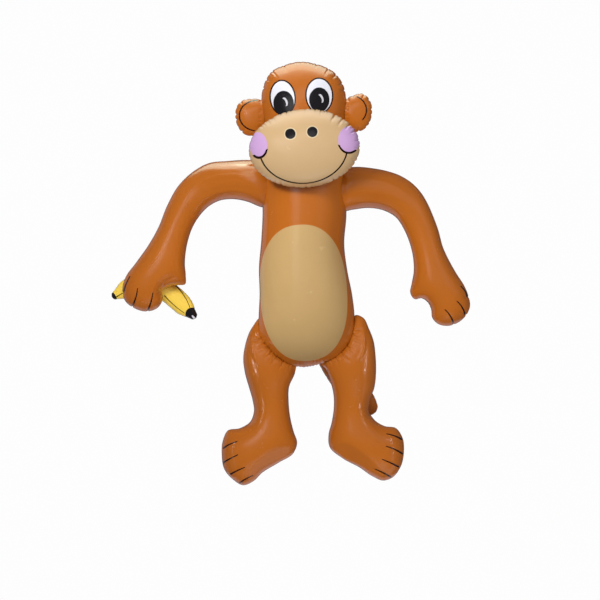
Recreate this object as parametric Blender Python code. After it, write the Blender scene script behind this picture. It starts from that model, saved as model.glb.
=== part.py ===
"""An inflatable monkey of printed vinyl, lying on its back with its face up.

The frame: +X to the figure's own left, +Y to the crown of its head, +Z up through its face.
The origin is on the flat that the back rests on, at the middle of the figure's length.
Each air chamber is two panels welded round one outline and blown up. Its outline and pose are
shares of the figure's height, and its depth and clearances are real sizes.
"""
import math

import bmesh
import bpy
import numpy as np
from mathutils import Matrix, Vector
from mathutils.geometry import delaunay_2d_cdt

# Driving dimensions, in metres
FIGURE_HEIGHT = 0.914       # crown of the head to the tip of the lower foot
TORSO_FLATTENING = 0.004    # how far the back is pressed flat by what it lies on
LIMB_FLATTENING = 0.002     # the same for the hands, feet, tail and banana
HEAD_DEPTH = 0.112          # front to back through the middle of the head
HEAD_FORWARD = 0.014        # weld of the head in front of the weld of the chest
MUZZLE_FORWARD = 0.078      # weld of the muzzle in front of the weld of the head
MUZZLE_FRONT = 0.054        # swell of the muzzle in front of its weld
MUZZLE_BACK = 0.042         # swell of the muzzle behind its weld, where it meets the head
EAR_DEPTH = 0.036
TAIL_DEPTH = 0.044
BANANA_DEPTH = 0.037
CLEARANCE = 0.0003          # gap between chambers that touch

# Facets
PANEL_STEP = 0.019          # spacing of the points over a large panel
FINE_STEP = 0.012           # spacing over an ear, the tail or the banana
RIM_RINGS = (0.004, 0.012)  # extra rows of points beside a weld, where the swell is steepest

# Outlines, in thousandths of the figure's height
TORSO_OUTLINE = [
    (1, 349), (-51, 333), (-84, 292), (-97, 241), (-98, 189), (-96.5, 137), (-99.5, 71),
    (-105, 5), (-103.5, -61), (-105.5, -106), (-106, -146), (-88, -183), (-53, -215), (-1, -229),
    (42, -221), (93, -198), (117, -156), (120, -108), (115, -61), (103, 0), (96, 61),
    (101, 127), (100, 189), (99, 241), (86, 292), (53, 333),
]
ARM_RIGHT_OUTLINE = [
    (-37, 236), (-79, 252), (-128, 259), (-178, 257), (-224, 252), (-261, 232), (-296, 198),
    (-322, 152), (-343, 100), (-366, 59), (-395, 18), (-421, -19), (-428, -45), (-421, -73),
    (-400, -90), (-371, -98), (-344, -89), (-332, -68), (-333, -50), (-317, -40), (-296, -36),
    (-280, -34), (-278, -12), (-280, 12), (-278, 42), (-272, 72), (-263, 98), (-248, 124),
    (-225, 149), (-196, 164), (-170, 167), (-133, 161), (-100, 148), (-72, 144), (-37, 156),
]
ARM_LEFT_OUTLINE = [
    (39, 151), (72, 134), (117, 142), (155, 146), (190, 140), (218, 124), (237, 96), (250, 65),
    (259, 26), (260, -5), (255, -33), (252, -54), (262, -69), (279, -67), (294, -78),
    (301, -93), (304, -113), (317, -127), (338, -132), (365, -124), (384, -107), (393, -86),
    (389, -60), (380, -38), (361, -8), (343, 24), (330, 52), (318, 95), (305, 130), (293, 157),
    (278, 182), (257, 204.5), (230, 222), (195, 234), (162, 240), (129, 243), (86, 239),
    (39, 224),
]
LEG_RIGHT_OUTLINE = [
    (-104, -110), (-124, -140), (-138, -179), (-142, -208), (-138, -243), (-128, -279),
    (-120, -308), (-117, -333), (-126, -358), (-150, -373), (-179, -379), (-190, -401),
    (-193, -436), (-187, -470), (-167, -494), (-142, -508), (-119, -499), (-98, -479),
    (-59, -455), (-23, -431), (-15, -408), (-23, -382), (-31, -349), (-35, -311), (-34, -276),
    (-19, -240), (-17, -222), (-53, -213), (-86, -181), (-104, -146),
]
LEG_LEFT_OUTLINE = [
    (124, -106), (116, -132), (114, -158), (91, -196), (63, -210), (41, -219), (54, -238),
    (64, -265), (71, -297), (71, -330), (66, -361), (59, -389), (61, -416), (93, -445),
    (132, -466), (163, -487), (188, -497), (208, -491), (228, -467), (237, -429), (233, -394),
    (218, -373), (191, -368), (168, -354), (155, -333), (157, -307), (167, -278), (171, -241),
    (170, -205), (165, -167), (154, -138), (140, -112),
]
HEAD_OUTLINE = [
    (-8, 490), (-45, 482), (-75, 467), (-91, 442), (-99, 409), (-97, 373), (-91, 330),
    (-72, 283), (-39, 248), (1, 236), (41, 248), (74, 283), (93, 330), (100, 373), (100, 406),
    (92, 439), (70, 467), (33, 484),
]
EAR_RIGHT_OUTLINE = [
    (-86, 397), (-104, 402), (-123, 403), (-142, 400), (-156, 387), (-161, 365), (-156, 340),
    (-142, 321), (-124, 315), (-103, 321), (-86, 335),
]
EAR_LEFT_OUTLINE = [
    (88, 396), (100, 405), (118, 411), (135, 416), (152, 406), (161, 384), (160, 360),
    (151, 339), (133, 326), (114, 324), (96, 340),
]
MUZZLE_CENTRE = (2, 286)
MUZZLE_HALF_AXES = (131, 94)
MUZZLE_TILT = math.radians(4.5)

# Middle lines and half widths of the round-ended chambers, in the same shares
TAIL_LINE = [(20, -130), (44, -172), (67, -217), (93, -260), (121, -287), (144, -304), (154, -322)]
TAIL_HALF_WIDTH = 30
TAIL_TAPER = 0.27           # share of the half width that is gone at its tip
BANANA_LINE = [
    (-443, -59), (-422, -47), (-395, -38), (-362, -37), (-331, -46), (-303, -66), (-279, -89),
    (-262, -106),
]
BANANA_HALF_WIDTH = 25
BANANA_TAPER = 0.56          # share of the half width that is gone at each end

# Where the limbs leave the weld of the torso, and where they lie on the floor
ARM_ROOT_X = 98
ARM_REST_X = 270
LEG_ROOT_Y = -170
LEG_REST_Y = -370
CHEST_Y = 137
BELLY_Y = -110

# The flat of each sole: a line along its lower edge, and how steeply it rises inward
SOLE_RIGHT_EDGE = [(-18, -428), (-118, -498)]
SOLE_LEFT_EDGE = [(60, -420), (162, -488)]
SOLE_RISE = 1.35

# Finishes: base colour (linear), roughness
BROWN = ((0.46, 0.115, 0.022), 0.22)
TAN = ((0.63, 0.44, 0.22), 0.24)
YELLOW = ((0.93, 0.66, 0.10), 0.26)


def share(amount):
    """Length given in thousandths of the figure's height."""
    return FIGURE_HEIGHT * amount / 1000


def scaled(points):
    return np.array(points, dtype=float) * FIGURE_HEIGHT / 1000


def smooth_line(points, closed, samples=14):
    """Smooth curve through the points, with tangents weighted by the chords beside each."""
    count = len(points)
    before = np.roll(points, 1, axis=0)
    after = np.roll(points, -1, axis=0)
    if not closed:
        before[0] = 2 * points[0] - points[1]
        after[-1] = 2 * points[-1] - points[-2]
    chord_in = np.linalg.norm(points - before, axis=1)[:, None]
    chord_out = np.linalg.norm(after - points, axis=1)[:, None]
    slope_in = (points - before) / chord_in
    slope_out = (after - points) / chord_out
    tangent = (slope_in * chord_out + slope_out * chord_in) / (chord_in + chord_out)
    line = []
    for i in range(count if closed else count - 1):
        j = (i + 1) % count
        for t in np.arange(samples) / samples:
            line.append(
                (1 + 2 * t) * (1 - t) ** 2 * points[i]
                + t * (1 - t) ** 2 * chord_out[i] * tangent[i]
                + t * t * (3 - 2 * t) * points[j]
                - t * t * (1 - t) * chord_out[i] * tangent[j]
            )
    if not closed:
        line.append(points[-1])
    return np.array(line)


def even_outline(points, step):
    """Closed outline, counter-clockwise, with points about one step apart."""
    line = smooth_line(points, closed=True)
    ahead = np.roll(line, -1, axis=0)
    if np.sum(line[:, 0] * ahead[:, 1] - ahead[:, 0] * line[:, 1]) < 0:
        line = line[::-1]
    line = np.vstack([line, line[:1]])
    run = np.concatenate([[0], np.cumsum(np.linalg.norm(np.diff(line, axis=0), axis=1))])
    stations = np.linspace(0, run[-1], max(12, round(run[-1] / step)), endpoint=False)
    return np.column_stack([np.interp(stations, run, line[:, k]) for k in (0, 1)])


def rim_distance(points, outline):
    """Distance from each point to the outline."""
    start = outline[None]
    edge = (np.roll(outline, -1, axis=0) - outline)[None]
    offset = points[:, None] - start
    along = np.clip((offset * edge).sum(-1) / (edge * edge).sum(-1), 0, 1)
    return np.linalg.norm(offset - along[..., None] * edge, axis=-1).min(axis=1)


def inside(points, outline):
    """True for the points that the outline goes round."""
    x, y = points[:, 0, None], points[:, 1, None]
    x0, y0 = outline[:, 0], outline[:, 1]
    x1, y1 = np.roll(x0, -1), np.roll(y0, -1)
    spans = (y0 > y) != (y1 > y)
    drop = np.where(y1 == y0, 1, y1 - y0)
    crossing = x0 + (y - y0) * (x1 - x0) / drop
    return (spans & (x < crossing)).sum(axis=1) % 2 == 1


def panel_points(outline, step):
    """The outline, the rows beside it, and an even grid over the rest of the panel."""
    tangent = np.roll(outline, -1, axis=0) - np.roll(outline, 1, axis=0)
    tangent /= np.linalg.norm(tangent, axis=1)[:, None]
    inward = np.column_stack([-tangent[:, 1], tangent[:, 0]])
    groups = [outline]
    for depth in RIM_RINGS:
        ring = outline + inward * depth
        groups.append(ring[inside(ring, outline) & (rim_distance(ring, outline) > 0.8 * depth)])
    low, high = outline.min(axis=0), outline.max(axis=0)
    row_step = step * math.sqrt(3) / 2
    grid = []
    for row in range(int((high[1] - low[1]) / row_step) + 2):
        for column in range(int((high[0] - low[0]) / step) + 2):
            grid.append((low[0] + step * (column + 0.5 * (row % 2)), low[1] + row_step * row))
    grid = np.array(grid)
    clear = inside(grid, outline) & (rim_distance(grid, outline) > RIM_RINGS[-1] + 0.55 * step)
    groups.append(grid[clear])
    return np.vstack(groups)


def film_height(points, triangles, rim_count):
    """Height of a film blown up over the panel: a long strip rises to a half circle."""
    stiffness = np.zeros((len(points), len(points)))
    load = np.zeros(len(points))
    for triangle in triangles:
        corners = points[triangle]
        edges = corners[[2, 0, 1]] - corners[[1, 2, 0]]
        area = abs(edges[0, 0] * edges[1, 1] - edges[0, 1] * edges[1, 0]) / 2
        stiffness[np.ix_(triangle, triangle)] += edges @ edges.T / (4 * area)
        load[triangle] += 2 * area / 3
    free = slice(rim_count, None)
    square = np.zeros(len(points))
    square[free] = np.linalg.solve(stiffness[free, free], load[free])
    return np.sqrt(np.maximum(square, 0))


def panel(outline, step):
    """Points of a panel, its triangles and the height of its film; the rim's points come first."""
    rim = even_outline(outline, step)
    raw = panel_points(rim, step)
    rim_edges = [(i, (i + 1) % len(rim)) for i in range(len(rim))]
    found, _, faces, sources, _, _ = delaunay_2d_cdt(
        [Vector(p) for p in raw], rim_edges, [], 1, 1e-7)
    order = np.argsort([min(s) if s else len(raw) for s in sources], kind="stable")
    place = np.argsort(order)
    points = np.array([found[i] for i in order])
    triangles = [[int(place[i]) for i in face] for face in faces]
    return points, triangles, len(rim), film_height(points, triangles, len(rim))


def chamber(name, outline, finish, step=PANEL_STEP, weld=None, front=None, back=None):
    """Closed mesh of an air chamber. weld gives the height of its weld over the floor from the
    points and the film. front and back are the swell each side, if it isn't the round one."""
    points, triangles, rim_count, film = panel(outline, step)
    level = weld(points, film)
    rise = film * (front / film.max() if front else 1)
    fall = film * (back / film.max() if back else 1)
    count = len(points)
    top = np.column_stack([points, level + rise])
    bottom = np.column_stack([points, level - fall])[rim_count:]
    under = [i if i < rim_count else i + count - rim_count for i in range(count)]
    faces = [tuple(t) for t in triangles]
    faces += [tuple(under[i] for i in reversed(t)) for t in triangles]
    mesh = bpy.data.meshes.new(name)
    mesh.from_pydata(np.vstack([top, bottom]).tolist(), [], faces)
    cut_flat(mesh, Vector((0, 0, 0)), Vector((0, 0, -1)))
    return placed(name, mesh, finish)


def cut_flat(mesh, point, normal):
    """Remove what lies beyond a plane, on the side its normal points to, and close the cut."""
    body = bmesh.new()
    body.from_mesh(mesh)
    everything = body.verts[:] + body.edges[:] + body.faces[:]
    bmesh.ops.bisect_plane(body, geom=everything, dist=1e-6, plane_co=point, plane_no=normal,
                           clear_outer=True)
    open_edges = [edge for edge in body.edges if edge.is_boundary]
    bmesh.ops.holes_fill(body, edges=open_edges, sides=0)
    bmesh.ops.recalc_face_normals(body, faces=body.faces[:])
    body.to_mesh(mesh)
    body.free()


def placed(name, mesh, finish):
    """Object for a mesh, with its origin at the mesh's own middle."""
    corners = np.array([vertex.co for vertex in mesh.vertices])
    middle = Vector((corners.min(axis=0) + corners.max(axis=0)) / 2)
    mesh.transform(Matrix.Translation(-middle))
    mesh.shade_smooth()
    mesh.materials.append(vinyl(name, finish))
    piece = bpy.data.objects.new(name, mesh)
    piece.location = middle
    piece.parent = figure
    bpy.context.scene.collection.objects.link(piece)
    return piece


def vinyl(name, finish):
    colour, roughness = finish
    material = bpy.data.materials.new(name + "_vinyl")
    material.use_nodes = True
    shader = material.node_tree.nodes["Principled BSDF"]
    shader.inputs["Base Color"].default_value = (*colour, 1)
    shader.inputs["Roughness"].default_value = roughness
    shader.inputs["Metallic"].default_value = 0
    return material


def cut_back(piece, *neighbours):
    """Take each neighbour, grown by the clearance, out of a piece that meets it."""
    for neighbour in neighbours:
        name = neighbour.name + "_grown"
        cutter = bpy.data.objects.get(name)
        if cutter is None:
            mesh = neighbour.data.copy()
            normals = [vertex.normal.copy() for vertex in mesh.vertices]
            for vertex, normal in zip(mesh.vertices, normals):
                vertex.co += normal * CLEARANCE
            cutter = bpy.data.objects.new(name, mesh)
            cutter.location = neighbour.location
            cutter.parent = figure
            cutter.hide_render = True
            cutter.display_type = "WIRE"
            bpy.context.scene.collection.objects.link(cutter)
        modifier = piece.modifiers.new("meets_" + neighbour.name, "BOOLEAN")
        modifier.operation = "DIFFERENCE"
        modifier.object = cutter


def ease(value):
    value = np.clip(value, 0, 1)
    return value * value * (3 - 2 * value)


def flat_weld(height):
    """Weld of a chamber whose rim is level."""
    return lambda points, film: np.full(len(points), height)


def resting_weld(depth):
    """Weld of a chamber of this depth that lies on the floor."""
    return flat_weld(depth / 2 - LIMB_FLATTENING)


def limb_weld(root_height, travel):
    """Weld that comes down from the torso until the limb lies on the floor. travel gives how
    far along each point is, from 0 at the root to 1 where it rests."""
    def weld(points, film):
        along = travel(points)
        resting = film[along >= 1].max() - LIMB_FLATTENING
        return root_height + (resting - root_height) * ease(along)
    return weld


def torso_weld_heights():
    """Heights of the torso's weld at chest and belly, with the whole back on the floor."""
    points, _, _, film = panel(scaled(TORSO_OUTLINE), PANEL_STEP)
    heights = []
    for y in (CHEST_Y, BELLY_Y):
        band = np.abs(points[:, 1] - share(y)) < PANEL_STEP
        heights.append(film[band].max() - TORSO_FLATTENING)
    return heights


def ellipse(centre, half_axes, tilt, count=28):
    turns = np.linspace(0, 2 * math.pi, count, endpoint=False)
    across, up = half_axes[0] * np.cos(turns), half_axes[1] * np.sin(turns)
    return np.column_stack([
        centre[0] + across * math.cos(tilt) - up * math.sin(tilt),
        centre[1] + across * math.sin(tilt) + up * math.cos(tilt),
    ])


def round_ended(line, half_width, count=9):
    """Outline round a middle line. half_width gives the width at each share of its length."""
    middle = smooth_line(np.array(line, dtype=float), closed=False)
    run = np.concatenate([[0], np.cumsum(np.linalg.norm(np.diff(middle, axis=0), axis=1))])
    shares = np.linspace(0, 1, count)
    centre = np.column_stack([np.interp(shares * run[-1], run, middle[:, k]) for k in (0, 1)])
    direction = np.gradient(centre, axis=0)
    direction /= np.linalg.norm(direction, axis=1)[:, None]
    side = np.column_stack([-direction[:, 1], direction[:, 0]])
    width = half_width(shares)[:, None]
    tip = centre[-1] + direction[-1] * width[-1]
    tail = centre[0] - direction[0] * width[0]
    shoulder = 0.7
    tip_sides = [centre[-1] + shoulder * width[-1] * (direction[-1] + s * side[-1])
                 for s in (1, -1)]
    tail_sides = [centre[0] - shoulder * width[0] * (direction[0] + s * side[0])
                  for s in (1, -1)]
    left, right = centre + side * width, centre - side * width
    return np.vstack([left, tip_sides[:1], [tip], tip_sides[1:], right[::-1],
                      tail_sides[:1], [tail], tail_sides[1:]])


def flatten_sole(foot, edge):
    """Cut the flat of a sole: a plane that rises inward from the line along its lower edge."""
    start, end = scaled(edge)
    run = (end - start) / np.linalg.norm(end - start)
    inward = np.array([-run[1], run[0]])
    if inward[1] < 0:
        inward = -inward
    rim = [v.co + foot.location for v in foot.data.vertices if v.co.y + foot.location.y < start[1]]
    weld_height = (max(p.z for p in rim) + min(p.z for p in rim)) / 2
    point = Vector((*start, weld_height)) - foot.location
    normal = Vector((-SOLE_RISE * inward[0], -SOLE_RISE * inward[1], 1)).normalized()
    cut_flat(foot.data, point, normal)


def build_torso(chest_height, belly_height):
    def weld(points, film):
        along = (points[:, 1] - share(CHEST_Y)) / (share(BELLY_Y) - share(CHEST_Y))
        return chest_height + (belly_height - chest_height) * np.clip(along, 0, 1)
    return chamber("torso", scaled(TORSO_OUTLINE), BROWN, weld=weld)


def build_arm(name, outline, chest_height):
    def travel(points):
        reach = np.abs(points[:, 0]) - share(ARM_ROOT_X)
        return np.clip(reach / (share(ARM_REST_X) - share(ARM_ROOT_X)), 0, 1)
    return chamber(name, scaled(outline), BROWN, weld=limb_weld(chest_height, travel))


def build_leg(name, outline, belly_height, sole_edge):
    def travel(points):
        reach = share(LEG_ROOT_Y) - points[:, 1]
        return np.clip(reach / (share(LEG_ROOT_Y) - share(LEG_REST_Y)), 0, 1)
    leg = chamber(name, scaled(outline), BROWN, weld=limb_weld(belly_height, travel))
    flatten_sole(leg, sole_edge)
    return leg


def build_monkey():
    chest_height, belly_height = torso_weld_heights()
    head_height = chest_height + HEAD_FORWARD
    torso = build_torso(chest_height, belly_height)
    head = chamber("head", scaled(HEAD_OUTLINE), BROWN, weld=flat_weld(head_height),
                   front=HEAD_DEPTH / 2, back=HEAD_DEPTH / 2)
    muzzle_outline = scaled(ellipse(MUZZLE_CENTRE, MUZZLE_HALF_AXES, MUZZLE_TILT))
    muzzle = chamber("muzzle", muzzle_outline, TAN, weld=flat_weld(head_height + MUZZLE_FORWARD),
                     front=MUZZLE_FRONT, back=MUZZLE_BACK)
    ears = [chamber(name, scaled(outline), BROWN, step=FINE_STEP, weld=flat_weld(head_height),
                    front=EAR_DEPTH / 2, back=EAR_DEPTH / 2)
            for name, outline in (("ear_right", EAR_RIGHT_OUTLINE), ("ear_left", EAR_LEFT_OUTLINE))]
    arm_right = build_arm("arm_right", ARM_RIGHT_OUTLINE, chest_height)
    arm_left = build_arm("arm_left", ARM_LEFT_OUTLINE, chest_height)
    leg_right = build_leg("leg_right", LEG_RIGHT_OUTLINE, belly_height, SOLE_RIGHT_EDGE)
    leg_left = build_leg("leg_left", LEG_LEFT_OUTLINE, belly_height, SOLE_LEFT_EDGE)
    tail_outline = round_ended(TAIL_LINE, lambda t: TAIL_HALF_WIDTH * (1 - TAIL_TAPER * t ** 3))
    tail = chamber("tail", scaled(tail_outline), BROWN, step=FINE_STEP,
                   weld=resting_weld(TAIL_DEPTH), front=TAIL_DEPTH / 2, back=TAIL_DEPTH / 2)
    banana_outline = round_ended(
        BANANA_LINE, lambda t: BANANA_HALF_WIDTH * (1 - BANANA_TAPER * (2 * t - 1) ** 6))
    banana = chamber("banana", scaled(banana_outline), YELLOW, step=FINE_STEP,
                     weld=resting_weld(BANANA_DEPTH), front=BANANA_DEPTH / 2,
                     back=BANANA_DEPTH / 2)

    cut_back(head, torso)
    cut_back(muzzle, head, torso)
    for ear in ears:
        cut_back(ear, head)
    for arm in (arm_right, arm_left):
        cut_back(arm, torso, head)
    cut_back(arm_right, banana)
    cut_back(tail, torso)
    cut_back(leg_right, torso)
    cut_back(leg_left, torso, tail)


for leftover in list(bpy.data.objects):
    bpy.data.objects.remove(leftover, do_unlink=True)
figure = bpy.data.objects.new("monkey", None)
bpy.context.scene.collection.objects.link(figure)
build_monkey()
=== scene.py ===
# %% [markdown]
# # An inflatable monkey, one air chamber at a time
#
# The real thing is a party toy of glossy printed vinyl film. Each part of its body is two
# panels of film welded round one outline and blown up, so every piece here starts as an
# outline too. The solids of the frame say where each chamber lies, and this script makes the
# film that stands for it: the swell, the puckers beside the welds, the print and the gloss.

# %% Load the frame
import math

import bpy
import numpy as np
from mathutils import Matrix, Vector
from mathutils.geometry import delaunay_2d_cdt


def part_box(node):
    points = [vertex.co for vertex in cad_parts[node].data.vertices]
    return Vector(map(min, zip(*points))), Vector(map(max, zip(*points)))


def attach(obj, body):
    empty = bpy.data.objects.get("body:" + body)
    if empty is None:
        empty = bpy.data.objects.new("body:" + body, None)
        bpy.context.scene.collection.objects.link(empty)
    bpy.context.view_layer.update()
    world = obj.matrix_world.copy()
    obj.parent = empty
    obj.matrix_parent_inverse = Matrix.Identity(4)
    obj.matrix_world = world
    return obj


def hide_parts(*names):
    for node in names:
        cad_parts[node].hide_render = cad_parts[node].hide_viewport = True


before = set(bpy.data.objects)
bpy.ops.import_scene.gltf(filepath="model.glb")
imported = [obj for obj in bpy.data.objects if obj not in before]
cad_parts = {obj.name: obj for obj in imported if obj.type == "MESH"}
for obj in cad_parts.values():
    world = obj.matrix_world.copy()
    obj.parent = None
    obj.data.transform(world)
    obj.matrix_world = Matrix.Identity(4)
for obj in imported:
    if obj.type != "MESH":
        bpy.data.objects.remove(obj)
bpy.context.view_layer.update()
print("frame:", sorted(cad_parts))

# %% [markdown]
# ## Sizes
#
# The outlines are written in thousandths of the monkey's height, as a cutter's pattern would
# be, and the height is read from the frame: from the crown of the head to the tip of the
# lower foot. Plain metres would do as well, but then every number would have to be changed
# when the frame's size is.

# %% Height of the figure
CROWN_SHARE = 490.0
LOWER_TIP_SHARE = -508.0
crown_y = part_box("head")[1][1]
lower_tip_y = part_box("leg_right")[0][1]
UNIT = (crown_y - lower_tip_y) / (CROWN_SHARE - LOWER_TIP_SHARE)
MM = 0.001
print(f"one share is {UNIT * 1000:.3f} mm, the figure is {UNIT:.3f} m tall")


def scaled(points):
    return np.array(points, dtype=float) * UNIT


# %% [markdown]
# ## Patterns
#
# These are the cutting patterns, one outline for each chamber. A maker draws them flat and
# cuts both panels from one. They could be drawn as Bezier curves in Blender, but as short
# lists of points they can be read, compared and changed in one place. Left and right are the
# monkey's own, so its right hand is on the left of the picture.

# %% Outlines in thousandths of the height
TORSO_OUTLINE = [
    (1, 349), (-51, 333), (-84, 292), (-97, 241), (-98, 189), (-96.5, 137), (-99.5, 71),
    (-105, 5), (-103.5, -61), (-105.5, -106), (-106, -146), (-88, -183), (-53, -215), (-1, -229),
    (42, -221), (93, -198), (117, -156), (120, -108), (115, -61), (103, 0), (96, 61),
    (101, 127), (100, 189), (99, 241), (86, 292), (53, 333),
]
ARM_RIGHT_OUTLINE = [
    (-37, 236), (-79, 252), (-128, 259), (-178, 257), (-224, 252), (-261, 232), (-296, 198),
    (-322, 152), (-343, 100), (-366, 59), (-395, 18), (-421, -19), (-428, -45), (-421, -73),
    (-400, -90), (-371, -98), (-344, -89), (-332, -68), (-333, -50), (-317, -40), (-296, -36),
    (-280, -34), (-278, -12), (-280, 12), (-278, 42), (-272, 72), (-263, 98), (-248, 124),
    (-225, 149), (-196, 164), (-170, 167), (-133, 161), (-100, 148), (-72, 144), (-37, 156),
]
ARM_LEFT_OUTLINE = [
    (39, 151), (72, 134), (117, 142), (155, 146), (190, 140), (218, 124), (237, 96), (250, 65),
    (259, 26), (260, -5), (255, -33), (252, -54), (262, -69), (279, -67), (294, -78),
    (301, -93), (304, -113), (317, -127), (338, -132), (365, -124), (384, -107), (393, -86),
    (389, -60), (380, -38), (361, -8), (343, 24), (330, 52), (318, 95), (305, 130), (293, 157),
    (278, 182), (257, 204.5), (230, 222), (195, 234), (162, 240), (129, 243), (86, 239),
    (39, 224),
]
LEG_RIGHT_OUTLINE = [
    (-97, -108), (-124, -140), (-138, -179), (-142, -208), (-138, -243), (-128, -279),
    (-120, -308), (-117, -333), (-126, -358), (-150, -373), (-179, -379), (-190, -401),
    (-193, -436), (-187, -470), (-167, -494), (-142, -508), (-119, -499), (-98, -479),
    (-59, -455), (-23, -431), (-15, -408), (-23, -382), (-31, -349), (-35, -311), (-34, -276),
    (-19, -240), (-17, -222), (-48, -203), (-77, -172), (-95, -140),
]
LEG_LEFT_OUTLINE = [
    (124, -106), (108, -130), (104, -156), (82, -187), (57, -202), (40, -217), (54, -238),
    (64, -265), (71, -297), (71, -330), (66, -361), (59, -389), (61, -416), (93, -445),
    (132, -466), (163, -487), (188, -497), (208, -491), (228, -467), (237, -429), (233, -394),
    (218, -373), (191, -368), (168, -354), (155, -333), (157, -307), (167, -278), (171, -241),
    (170, -205), (165, -167), (154, -138), (140, -112),
]
HEAD_OUTLINE = [
    (-8, 490), (-45, 482), (-75, 467), (-91, 442), (-99, 409), (-97, 373), (-91, 330),
    (-72, 283), (-39, 248), (1, 236), (41, 248), (74, 283), (93, 330), (100, 373), (100, 406),
    (92, 439), (70, 467), (33, 484),
]
EAR_RIGHT_OUTLINE = [
    (-86, 397), (-104, 402), (-123, 403), (-142, 400), (-156, 387), (-161, 365), (-156, 340),
    (-142, 321), (-124, 315), (-103, 321), (-86, 335),
]
EAR_LEFT_OUTLINE = [
    (88, 396), (100, 405), (118, 411), (135, 416), (152, 406), (161, 384), (160, 360),
    (151, 339), (133, 326), (114, 324), (96, 340),
]
MUZZLE_CENTRE = (2, 284.8)
MUZZLE_HALF_AXES = (130.5, 92.6)
MUZZLE_TILT = math.radians(4.5)
TAIL_LINE = [(20, -130), (44, -172), (67, -217), (93, -260), (121, -287), (144, -304), (154, -322)]
TAIL_HALF_WIDTH = 30
TAIL_TAPER = 0.27
BANANA_LINE = [
    (-443, -59), (-422, -47), (-395, -38), (-362, -37), (-331, -46), (-303, -66), (-279, -89),
    (-262, -106),
]
BANANA_HALF_WIDTH = 25
BANANA_TAPER = 0.56
print("torso pattern:", len(TORSO_OUTLINE), "points, head pattern:", len(HEAD_OUTLINE))

# %% [markdown]
# ## From outline to panel
#
# A pattern is drawn through a few points. `smooth_line` runs one smooth curve through them,
# and `even_outline` steps along it evenly, since a weld is walked at an even pace. Bezier
# curves could do the same by hand, but a function keeps the points few and the steps exact.


# %% Curves
def smooth_line(points, closed, samples=24):
    """Smooth curve through the points, with tangents weighted by the chords beside each."""
    count = len(points)
    before = np.roll(points, 1, axis=0)
    after = np.roll(points, -1, axis=0)
    if not closed:
        before[0] = 2 * points[0] - points[1]
        after[-1] = 2 * points[-1] - points[-2]
    chord_in = np.linalg.norm(points - before, axis=1)[:, None]
    chord_out = np.linalg.norm(after - points, axis=1)[:, None]
    slope_in = (points - before) / chord_in
    slope_out = (after - points) / chord_out
    tangent = (slope_in * chord_out + slope_out * chord_in) / (chord_in + chord_out)
    line = []
    for i in range(count if closed else count - 1):
        j = (i + 1) % count
        for t in np.arange(samples) / samples:
            line.append(
                (1 + 2 * t) * (1 - t) ** 2 * points[i]
                + t * (1 - t) ** 2 * chord_out[i] * tangent[i]
                + t * t * (3 - 2 * t) * points[j]
                - t * t * (1 - t) * chord_out[i] * tangent[j]
            )
    if not closed:
        line.append(points[-1])
    return np.array(line)


def run_lengths(line):
    return np.concatenate([[0], np.cumsum(np.linalg.norm(np.diff(line, axis=0), axis=1))])


def even_outline(points, step):
    """Closed outline, counter-clockwise, with points about one step apart."""
    line = smooth_line(points, closed=True)
    ahead = np.roll(line, -1, axis=0)
    if np.sum(line[:, 0] * ahead[:, 1] - ahead[:, 0] * line[:, 1]) < 0:
        line = line[::-1]
    line = np.vstack([line, line[:1]])
    run = run_lengths(line)
    stations = np.linspace(0, run[-1], round(run[-1] / step), endpoint=False)
    return np.column_stack([np.interp(stations, run, line[:, k]) for k in (0, 1)])


# %% [markdown]
# Two more outlines come from rules and not from points: the muzzle is a tilted ellipse, and
# the tail and the banana are a middle line with a width. Their points could be listed too,
# but a rule keeps the two sides alike.


# %% Ruled outlines
def ellipse(centre, half_axes, tilt, count=48):
    turns = np.linspace(0, 2 * math.pi, count, endpoint=False)
    across, up = half_axes[0] * np.cos(turns), half_axes[1] * np.sin(turns)
    return np.column_stack([
        centre[0] + across * math.cos(tilt) - up * math.sin(tilt),
        centre[1] + across * math.sin(tilt) + up * math.cos(tilt),
    ])


END_ROUNDNESS = 0.7


def round_ended(line, half_width, count=9):
    """Outline round a middle line. half_width gives the width at each share of its length."""
    middle = smooth_line(np.array(line, dtype=float), closed=False)
    run = run_lengths(middle)
    shares = np.linspace(0, 1, count)
    centre = np.column_stack([np.interp(shares * run[-1], run, middle[:, k]) for k in (0, 1)])
    direction = np.gradient(centre, axis=0)
    direction /= np.linalg.norm(direction, axis=1)[:, None]
    side = np.column_stack([-direction[:, 1], direction[:, 0]])
    width = half_width(shares)[:, None]
    tip = centre[-1] + direction[-1] * width[-1]
    tail = centre[0] - direction[0] * width[0]
    tip_sides = [centre[-1] + END_ROUNDNESS * width[-1] * (direction[-1] + s * side[-1])
                 for s in (1, -1)]
    tail_sides = [centre[0] - END_ROUNDNESS * width[0] * (direction[0] + s * side[0])
                  for s in (1, -1)]
    left, right = centre + side * width, centre - side * width
    return np.vstack([left, tip_sides[:1], [tip], tip_sides[1:], right[::-1],
                      tail_sides[:1], [tail], tail_sides[1:]])


# %% [markdown]
# ## A mesh for a panel
#
# The film swells most steeply beside its weld and hardly at all in the middle, so the points
# of a panel stand in rows along the weld and on an even grid inside. Delaunay triangles then
# join them. A plain grid fill would need four times the points for the same rim.


# %% Places against a rim
def blocks(count, size=1500):
    """Numbers from nought to count in short runs, which keeps the tables of distances small."""
    return np.array_split(np.arange(count), max(1, count // size))


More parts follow.
